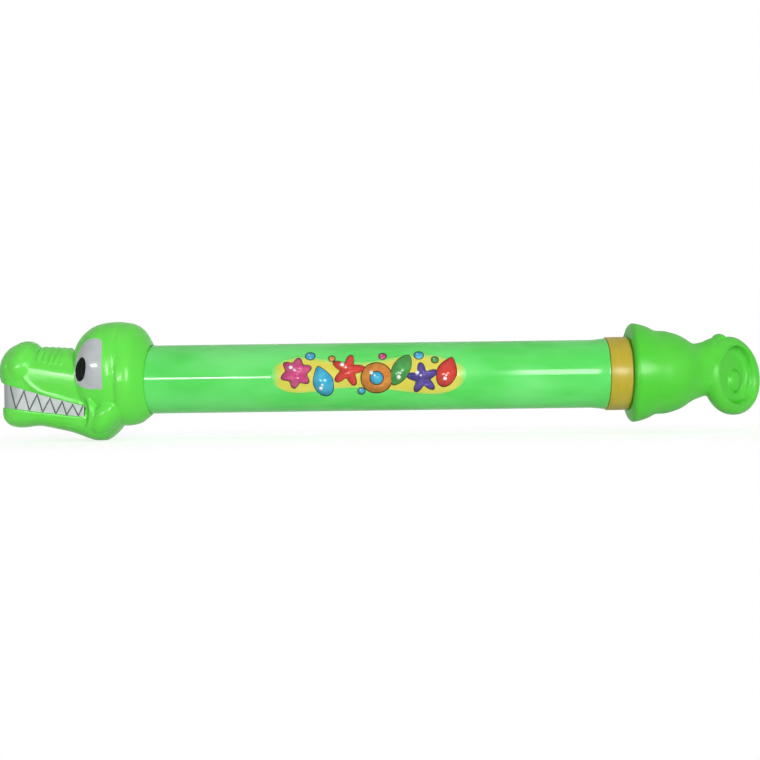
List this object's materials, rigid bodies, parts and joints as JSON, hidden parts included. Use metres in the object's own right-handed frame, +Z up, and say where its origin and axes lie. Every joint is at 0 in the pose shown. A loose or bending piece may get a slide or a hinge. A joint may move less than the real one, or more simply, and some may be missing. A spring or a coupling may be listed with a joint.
{
  "type": "water squirter",
  "caption": "Pump-action water squirter: crocodile head with a nozzle in its mouth, straight round barrel, yellow rear collar and a curled tail that pulls the plunger.",
  "frame": {"origin": "middle of the whole toy's box, on the plane under the jaw that it lies on", "axes": "+X along the barrel towards the tail, -X towards the nozzle, +Z up through the top of the head"},
  "size_m": [0.5641, 0.072, 0.0861],
  "materials": {
    "head_green": "soft gloss moulding",
    "eye_white": "satin paint or inlay",
    "pupil_black": "gloss paint or inlay",
    "teeth_white": "satin",
    "tube_green": "gloss extruded tube",
    "collar_yellow": "satin moulding",
    "tail_green": "waxy soft gloss moulding",
    "natural_plastic": "uncoloured moulding",
    "seal_rubber": "matt",
    "zinc_steel": "zinc plated"
  },
  "bodies": {
    "barrel_body": {"barrel_tube": "tube_green", "head_shell_left": "head_green", "head_shell_right": "head_green", "eye_white_left": "eye_white", "eye_white_right": "eye_white", "pupil_left": "pupil_black", "pupil_right": "pupil_black", "teeth_band": "teeth_white", "nozzle_plug": "natural_plastic", "plug_seal": "seal_rubber", "spout_tube": "natural_plastic", "nozzle_tip": "natural_plastic", "rear_collar": "collar_yellow", "rod_guide_bush": "natural_plastic"},
    "piston_body": {"piston": "natural_plastic", "piston_seal": "seal_rubber"},
    "plunger_body": {"plunger_rod": "natural_plastic", "rod_plug": "natural_plastic", "stop_washer": "seal_rubber", "piston_screw": "zinc_steel", "tail_hub": "natural_plastic", "cross_pin": "zinc_steel", "tail_shell": "tail_green"}
  },
  "joints": [
    {"name": "plunger_slide", "type": "slide", "parent": "barrel_body", "child": "piston_body", "axis": [1, 0, 0], "range_m": [0, 0.321]},
    {"name": "tail_swivel", "type": "hinge", "parent": "piston_body", "child": "plunger_body", "pos_m": [0, 0, 0.0436], "axis": [1, 0, 0], "continuous": true}
  ]
}
